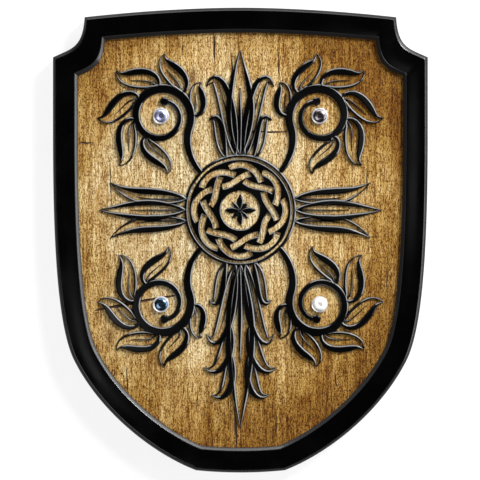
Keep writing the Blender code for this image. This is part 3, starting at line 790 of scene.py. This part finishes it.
def middle_pieces():
    """The crest, the pendant, the side leaves and the flower, as strokes round the roundel."""
    up, edge = math.pi / 2, ROUNDEL - 1
    c, p = CREST, PENDANT
    strokes = leaf((0, edge), up, (0, edge + c), up, 0.107 * c, 0, 1.25, False)
    strokes += leaf((0, -edge), -up, (0, -edge - p), -up, 0.073 * p, 0, 1.3, False)
    strokes.append((np.outer(np.linspace(edge, edge + 0.64 * c, 20), unit(up)),
                    swell(20, 1.2, 1.9, 0.3, 0.5)))
    strokes.append((np.outer(np.linspace(edge, edge + 0.6 * p, 24), unit(-up)),
                    swell(24, 1.2, 2.1, 0.3, 0.5)))
    for sx in (1, -1):
        for leaves in (grown((4, edge - 0.5), 78, (0.32 * c, edge + 0.655 * c), -62, 5.0, 1),
                       grown((11, edge - 2), 50, (0.3 * c, edge + 0.333 * c), -40, 3.2, 1, False, False),
                       grown((4, edge - 0.5), 78, (0.208 * p, edge + 0.423 * p), -62, 5.0, 1, True),
                       grown((11, edge - 2), 50, (0.192 * p, edge + 0.215 * p), -40, 3.2, 1, True, False),
                       grown((0.062 * p, edge + 0.37 * p), 82, (0.223 * p, edge + 0.631 * p), -30, 4.4, 1,
                             True, False),
                       grown((0.054 * p, edge + 0.554 * p), 80, (0.177 * p, edge + 0.8 * p), -20, 3.6, 1,
                             True, False),
                       leaf((edge, 0), 0.0, (edge + SIDE_LEAF, 0), 0.0, 0.09 * SIDE_LEAF, 0, 1.1),
                       leaf(unit(0.2) * edge, 0.1, unit(0.209) * (edge + 0.903 * SIDE_LEAF), math.radians(38),
                            0.075 * SIDE_LEAF, 1),
                       leaf(unit(-0.2) * edge, -0.1, unit(-0.209) * (edge + 0.903 * SIDE_LEAF),
                            math.radians(-38), 0.075 * SIDE_LEAF, -1)):
            strokes += mirrored(leaves, sx)
    for k in range(8):
        share = 1.0 if k % 2 == 0 else 0.76
        strokes.append((np.outer(np.linspace(0.04, share, 14) * PETAL, unit(math.radians(45 * k))),
                        swell(14, 0.08, 0.224 if k % 2 == 0 else 0.144, 0.02, 0.55) * PETAL))
    return strokes


def mirrored(strokes, sx, sy=1, shift=(0.0, 0.0)):
    return [((line + shift) * [sx, sy], half) for line, half in strokes]


# The relief's section: how far it reaches under the seat and cutters over the top, then its walls and bevels
SKIRT = 0.3
OVER = RELIEF + 0.7
WALL_RUN, WALL_RISE, EDGE_SLOPE = 0.32, 1.36, 0.83


def sweep(name, line, corners, group, closed=False):
    """A section carried along a line on the board; corners is one section, or one for each point."""
    side = normals(np.vstack([line[-1:], line, line[:1]]))[1:-1] if closed else normals(line)
    if not isinstance(corners, list):
        corners = [corners] * len(line)
    rows = [[(x + nx * u, y + ROUNDEL_Y + ny * u, SEAT + z) for u, z in each]
            for (x, y), (nx, ny), each in zip(line, side, corners)]
    hide(skin(name, rows, closed), group)


def ridge(w, down):
    """A stroke's section: steep walls, bevels and a flat top, with top and bottom a hair lower by turns."""
    run = min(WALL_RUN, 0.5 * w)
    wall = run * WALL_RISE / WALL_RUN
    top = min(RELIEF - down, wall + (w - run - 0.02) * EDGE_SLOPE)
    flat = w - run - (top - wall) / EDGE_SLOPE
    foot = -SKIRT + 0.5 * down
    return ((-w - 0.06, foot), (-w + run, wall), (-flat, top), (flat, top), (w - run, wall), (w + 0.06, foot))


def groove(half, bevel):
    """A groove's section: a flat floor, steep walls and bevelled edges."""
    turn = RELIEF - bevel
    run = (turn - RELIEF_FLOOR) / GROOVE_SLOPE
    wide = half + run + (OVER - turn) / EDGE_SLOPE
    return ((-half, RELIEF_FLOOR), (-half - run, turn), (-wide, OVER), (wide, OVER), (half + run, turn),
            (half, RELIEF_FLOOR))


TOP_RADIUS = ROUNDEL - WALL_RUN - (RELIEF - WALL_RISE) / EDGE_SLOPE
ornament = lathe("ornament_relief", [(0, SEAT - SKIRT), (ROUNDEL + 0.1, SEAT - SKIRT),
                                     (ROUNDEL - WALL_RUN, SEAT + WALL_RISE), (TOP_RADIUS, SEAT + RELIEF),
                                     (0, SEAT + RELIEF)], (0.0, ROUNDEL_Y), 160)


def plait_point(angle):
    return (PLAIT_RADIUS + PLAIT_SWING * math.cos(PLAIT_LOBES * angle / 3)) * unit(angle)


# The gap, as an angle, that a strand leaves beside the one it runs under; then the grooves' sizes
CLEAR = 0.135
GROOVE_BEVEL = 0.4
POCKET_BEVEL = 0.5
CHANNEL_IN = 3.4
CHANNEL_HALF = 0.6
STROKE_STEP = 0.0012
for k in range(2 * PLAIT_LOBES):
    first = math.pi * (3 * k / PLAIT_LOBES + 2) + CLEAR
    last = math.pi * (3 * (k + 1) / PLAIT_LOBES + 2) - CLEAR
    sweep(f"plait_{k:02d}", np.array([plait_point(a) for a in np.linspace(first, last, 16)]),
          groove(BAND, GROOVE_BEVEL), GROOVES)
ring = np.array([unit(a) * (ROUNDEL - CHANNEL_IN) for a in np.linspace(0, 2 * math.pi, 160, endpoint=False)])
sweep("rim_channel", ring, groove(CHANNEL_HALF, GROOVE_BEVEL), GROOVES, True)
pocket_side = [(u, SEAT + z) for u, z in groove(EYE_POCKET, POCKET_BEVEL)[:2:-1]]
hide(lathe("eye_pocket", [(0, SEAT + RELIEF_FLOOR)] + pocket_side + [(0, SEAT + OVER)], (0.0, ROUNDEL_Y), 96),
     GROOVES)
strokes = middle_pieces()
for sx in (1, -1):
    for sy in (1, -1):
        strokes += mirrored(scroll(), sx, sy, (BOLT_X, BOLT_Y))
for k, (line, half) in enumerate(strokes):
    sweep(f"stroke_{k:03d}", line, [ridge(w, STROKE_STEP * (k + 1)) for w in half], STROKES)
boolean(ornament, "DIFFERENCE", group=GROOVES)
boolean(ornament, "UNION", group=STROKES)
ornament = settled(ornament)
centre = Vector((0, ROUNDEL_Y * MM))
for face in ornament.data.polygons:
    floor = face.normal.z > 0.99 and abs(face.center.z / MM - SEAT - RELIEF_FLOOR) < 0.05
    face.material_index = 1 if floor and (face.center.xy - centre).length < ROUNDEL * MM else 0
show(ornament, "ornament", [RELIEF_BLACK, OAK], 24)

# Bolts, washers and nuts
HEX = SOCKET / 2 / math.cos(math.pi / 6)
NUT_CORNER = NUT_FLATS / 2 / math.cos(math.pi / 6)
HEAD_TOP = HEAD_SEAT + HEAD_RISE


def screw(name, place):
    dome = [(HEAD / 2 * math.cos(a) ** 0.8, HEAD_SEAT + HEAD_SKIRT + (HEAD_RISE - HEAD_SKIRT) * math.sin(a))
            for a in np.linspace(math.pi / 2, 0, 16)[1:]]
    profile = [(0.0, HEAD_TOP)] + dome + [
        (HEAD / 2 - 0.1, HEAD_SEAT + 0.15), (HEAD / 2 - 0.3, HEAD_SEAT - GAP), (SHANK / 2, HEAD_SEAT - GAP),
        (SHANK / 2, BOLT_END + SHANK_CHAMFER), (SHANK / 2 - SHANK_CHAMFER, BOLT_END), (0.0, BOLT_END)]
    bolt = lathe("screw_" + name, profile, place)
    socket = hide(cone("socket_" + name, HEX, HEX, HEAD_TOP - SOCKET_DEEP, HEAD_TOP + 1, place, 6))
    mouth = hide(cone("mouth_" + name, HEX - 0.2, HEX + SOCKET_MOUTH, HEAD_TOP - 0.55, HEAD_TOP + 0.3, place,
                      48))
    boolean(bolt, "DIFFERENCE", socket)
    boolean(bolt, "DIFFERENCE", mouth)
    return settled(bolt)


def washer(name, place, top, seat):
    r, b, e = WASHER / 2, BORE / 2, WASHER_ROUND
    return lathe(name, [(b + e, top), (r - e, top), (r - 0.05, top - 0.06), (r, top - e), (r, seat),
                        (b, seat), (b, top - e), (b + e, top)], place)


def hex_nut(name, place):
    low, top = NUT_TOP - NUT_THICK, NUT_TOP
    wide, narrow = NUT_CORNER + 0.15, NUT_CORNER - 0.75
    bore, flare = BORE / 2, BORE / 2 + 2 * NUT_MOUTH
    nut = cone("nut_fine_" + name, NUT_CORNER, NUT_CORNER, low, top, place, 6)
    shape = [(0, top + 0.1), (narrow, top + 0.1), (wide, top - NUT_CHAMFER), (wide, low + NUT_CHAMFER),
             (narrow, low - 0.1), (0, low - 0.1)]
    boolean(nut, "INTERSECT", hide(lathe("nut_shape_" + name, shape, place)))
    hole = [(0, top + NUT_MOUTH), (flare, top + NUT_MOUTH), (bore, top - NUT_MOUTH), (bore, low + NUT_MOUTH),
            (flare, low - NUT_MOUTH), (0, low - NUT_MOUTH)]
    boolean(nut, "DIFFERENCE", hide(lathe("nut_bore_" + name, hole, place, 48)))
    return settled(nut)


for name, place in PLACES.items():
    show(screw(name, place), "bolt_" + name, PAINTED_REFLECTION_HEADS[name], 30)
    show(washer("washer_front_fine_" + name, place, WASHER_TOP, PANEL_FRONT + 0.02), "washer_front_" + name,
         CHROME)
    show(washer("washer_back_fine_" + name, place, BACK_WASHER_TOP, BACK_WASHER_TOP - BACK_WASHER_THICK),
         "washer_back_" + name, CHROME)
    show(hex_nut(name, place), "nut_" + name, CHROME, 25)


# Grips: webbing with soft edges and two rows of stitches beside each bolt
def strap_line():
    """The strap seen from its edge, as points along Y and up Z."""
    half = BOLT_Y + STRAP_END
    flat = BOLT_Y - STRAP_FLAT
    ends = STRAP_TOP - STRAP_THICK / 2
    low = STRAP_LOW + STRAP_THICK / 2
    t = np.linspace(-1, 1, 60)
    bow = low + (ends - low) * (0.5 - 0.5 * np.cos(math.pi * t)) ** 1.3
    tail = np.linspace(flat + 1, half, 12)
    level = np.full(12, ends)
    return np.vstack([np.c_[-tail[::-1], level], np.c_[t * flat, bow], np.c_[tail, level]])


def strap_section():
    """The strap's section, with soft edges."""
    w, h = STRAP_WIDTH / 2, STRAP_THICK / 2
    upper = [(-w + 0.2, h * 0.7), (-w + 0.8, h), (-w * 0.33, h), (w * 0.33, h), (w - 0.8, h),
             (w - 0.2, h * 0.7)]
    return [(-w, 0)] + upper + [(w, 0)] + [(u, -v) for u, v in upper[::-1]]


def grip(side, x):
    line = strap_line()
    section = strap_section()
    strap = skin("grip_" + side, [[(x + u, y + ROUNDEL_Y + ny * v, z + nz * v) for u, v in section]
                                  for (y, z), (ny, nz) in zip(line, normals(line))])
    for end in (1, -1):
        boolean(strap, "DIFFERENCE", hide(cone(f"grip_hole_{side}_{end}", BORE / 2, BORE / 2,
                                               STRAP_TOP - STRAP_THICK - 1, STRAP_TOP + 1,
                                               (x, ROUNDEL_Y + end * BOLT_Y), 32)))
    return settled(strap)


def stitches(side, x):
    """Two rows of small flat beads at each end of the strap."""
    mesh = bpy.data.meshes.new("stitches_" + side)
    work = bmesh.new()
    under = STRAP_TOP - STRAP_THICK - 0.02
    for end in (1, -1):
        for row in STITCH_ROWS:
            for k in range(STITCH_COUNT):
                made = bmesh.ops.create_uvsphere(work, u_segments=10, v_segments=6, radius=1.0)["verts"]
                bmesh.ops.scale(work, vec=[half * MM for half in STITCH_HALF], verts=made)
                at = (x - STITCH_START + STITCH_STEP * k, ROUNDEL_Y + end * (BOLT_Y + row), under)
                bmesh.ops.translate(work, vec=[value * MM for value in at], verts=made)
    work.to_mesh(mesh)
    work.free()
    return mesh_object("stitches_" + side, mesh)


for side, x in (("left", -BOLT_X), ("right", BOLT_X)):
    show(grip(side, x), "strap_" + side, WEBBING, 40)
    show(stitches(side, x), None, THREAD, 60)

# Stage: a pale floor, soft lights that are brighter from the upper right, and a dim sky
FLOOR_SIZE = 30
FLOOR_GLOW = 0.82
SKY_LOW = (0.05, (0.42, 0.43, 0.45, 1))
SKY_HIGH = (0.75, (0.012, 0.012, 0.012, 1))
SKY_TOWARD = (0.7, 0.7, 0.0)
SKY_LIFT = {"From Min": -0.5, "From Max": 0.4, "To Min": 0.12, "To Max": 1.0}
# Each light's place, what it points at, its size in metres and its power; the sheens aren't seen directly
LIGHTS = {"key": ((1.4, 1.4, 1.24), (0, 0, 0), (0.6, 0.6), 124),
          "fill": ((-1.0, -0.8, 1.6), (0, 0, 0), (1.2, 1.2), 24),
          "right_panel": ((1.3, 0.0, 0.3), (0, 0, 0), (1.3, 0.5), 17),
          "top_panel": ((0.0, 1.3, 0.3), (0, 0, 0), (1.3, 0.5), 14),
          "corner_panel": ((1.1, 1.1, 0.32), (0, 0, 0), (1.2, 0.46), 18),
          "sheen_right": ((0.176, 0.085, 1.0), (0.176, 0.085, 0), (0.09, 0.18), 0.027),
          "sheen_left": ((-0.168, -0.12, 1.0), (-0.168, -0.12, 0), (0.06, 0.13), 0.026)}

bpy.ops.mesh.primitive_plane_add(size=FLOOR_SIZE)
floor = bpy.context.object
floor.name = "floor"
paper = Nodes("paper", 0.95, colour=(0.17, 0.17, 0.17))
paper.shader.inputs["Specular IOR Level"].default_value = 0.0
paper.shader.inputs["Emission Color"].default_value = (1, 1, 1, 1)
paper.shader.inputs["Emission Strength"].default_value = FLOOR_GLOW
grain = paper.noise((1, 1, 1), 60, 3, 0.5)
floor.data.materials.append(paper.end(colour=paper.ramp(grain, (0.3, 0.165), (0.7, 0.175))))


for name, (at, target, size, power) in LIGHTS.items():
    lamp = bpy.data.lights.new(name, "AREA")
    lamp.shape = "RECTANGLE"
    lamp.size, lamp.size_y = size
    lamp.energy = power
    light = bpy.data.objects.new(name, lamp)
    bpy.context.scene.collection.objects.link(light)
    light.location = at
    light.rotation_euler = (Vector(target) - Vector(at)).to_track_quat("-Z", "Y").to_euler()
    light.visible_camera = not name.startswith("sheen")

world = bpy.data.worlds.new("studio")
bpy.context.scene.world = world
world.use_nodes = True
tree = world.node_tree
background = tree.nodes["Background"]
direction = tree.nodes.new("ShaderNodeTexCoord")
split = tree.nodes.new("ShaderNodeSeparateXYZ")
tree.links.new(direction.outputs["Generated"], split.inputs[0])
fade = tree.nodes.new("ShaderNodeValToRGB")
for stop, (at, colour) in zip(fade.color_ramp.elements, (SKY_LOW, SKY_HIGH)):
    stop.position = at
    stop.color = colour
tree.links.new(split.outputs["Z"], fade.inputs["Fac"])
tree.links.new(fade.outputs["Color"], background.inputs["Color"])
toward = tree.nodes.new("ShaderNodeVectorMath")
toward.operation = "DOT_PRODUCT"
toward.inputs[1].default_value = SKY_TOWARD
tree.links.new(direction.outputs["Generated"], toward.inputs[0])
lift = tree.nodes.new("ShaderNodeMapRange")
for key, value in SKY_LIFT.items():
    lift.inputs[key].default_value = value
tree.links.new(toward.outputs["Value"], lift.inputs["Value"])
tree.links.new(lift.outputs["Result"], background.inputs["Strength"])

# Camera, straight above the shield, with the picture's width measured at the height of the panel's front
PICTURE_WIDTH = 0.384
PICTURE_LEVEL = 0.0155
OFF_CENTRE = (-0.0003, 0.00008)
lens = bpy.data.cameras.new("camera")
camera = bpy.data.objects.new("camera", lens)
bpy.context.scene.collection.objects.link(camera)
lens.lens = 200
lens.sensor_width = 36
lens.clip_end = 50
camera.location = (*OFF_CENTRE, PICTURE_LEVEL + PICTURE_WIDTH * lens.lens / lens.sensor_width)
bpy.context.scene.camera = camera
bpy.context.scene.view_settings.view_transform = "Standard"
